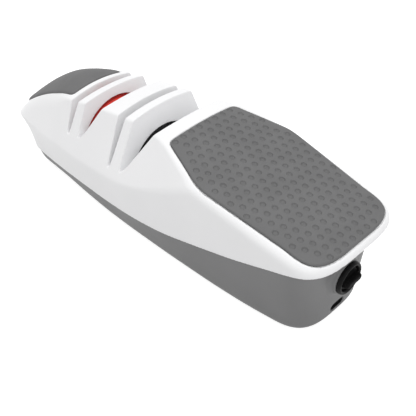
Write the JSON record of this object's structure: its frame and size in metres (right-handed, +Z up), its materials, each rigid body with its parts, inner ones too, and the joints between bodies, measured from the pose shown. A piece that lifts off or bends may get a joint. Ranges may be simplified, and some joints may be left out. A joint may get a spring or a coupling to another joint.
{
  "type": "electric knife sharpener",
  "caption": "Cordless electric knife sharpener: coarse and fine slotted stages over spinning wheels, dimpled grip pad, rotary switch and charging socket",
  "frame": {"origin": "on the table, under the middle of the body's length and width", "axes": "+X along the body to the end with the switch knob, +Z up, +Y completes the right-handed frame; the body is symmetric about y = 0"},
  "size_m": [0.2214, 0.0688, 0.0663],
  "materials": {
    "white_plastic": "satin moulded plastic",
    "grey_plastic": "fine satin moulded plastic",
    "grip_rubber": "soft matte grip with shallow dimples",
    "foot_rubber": "soft matte",
    "black_plastic": "satin moulded plastic",
    "red_abrasive": "coarse grit bonded to the rim",
    "dark_abrasive": "fine grit bonded to the rim",
    "board": "lacquered laminate",
    "cell_wrap": "shrink wrap over a metal can",
    "bronze": "sintered bronze",
    "magnet": "pressed ferrite",
    "lead_cover": "smooth insulation",
    "steel": "plain turned or pressed steel"
  },
  "bodies": {
    "housing": {"battery_cell_left": "cell_wrap", "battery_cell_right": "cell_wrap", "battery_cradle": "black_plastic", "battery_link": "steel", "battery_tab_left": "steel", "battery_tab_right": "steel", "bush_front": "bronze", "bush_rear": "bronze", "case_screw_far_left": "steel", "case_screw_far_right": "steel", "case_screw_middle_left": "steel", "case_screw_middle_right": "steel", "case_screw_near_left": "steel", "case_screw_near_right": "steel", "charge_socket": "steel", "charge_tongue": "black_plastic", "circuit_board": "board", "drive_frame": "black_plastic", "foot_far_left": "foot_rubber", "foot_far_right": "foot_rubber", "foot_near_left": "foot_rubber", "foot_near_right": "foot_rubber", "frame_screw_1": "steel", "frame_screw_2": "steel", "frame_screw_3": "steel", "frame_screw_4": "steel", "hand_pad": "grip_rubber", "lower_housing": "grey_plastic", "motor_can": "steel", "motor_end_cap": "black_plastic", "motor_lead_left": "lead_cover", "motor_lead_right": "lead_cover", "motor_magnet_left": "magnet", "motor_magnet_right": "magnet", "motor_screw_1": "steel", "motor_screw_2": "steel", "nose_pad": "grip_rubber", "rotary_switch": "black_plastic", "switch_bezel": "black_plastic", "upper_housing": "white_plastic"},
    "rotor": {"wheel_shaft": "steel", "coarse_wheel": "red_abrasive", "fine_wheel": "dark_abrasive", "spacer_front": "black_plastic", "spacer_middle": "black_plastic", "spacer_rear": "black_plastic", "shaft_clip": "steel", "shaft_coupling": "black_plastic", "motor_shaft": "steel", "motor_armature": "steel"},
    "knob": {"switch_knob": "black_plastic", "switch_spindle": "steel"}
  },
  "joints": [
    {"name": "rotor_spin", "type": "hinge", "parent": "housing", "child": "rotor", "pos_m": [0, 0, 0.031], "axis": [1, 0, 0], "continuous": true},
    {"name": "knob_turn", "type": "hinge", "parent": "housing", "child": "knob", "pos_m": [0.106, 0, 0.0257], "axis": [1, 0, 0], "range_deg": [0, 90]}
  ]
}
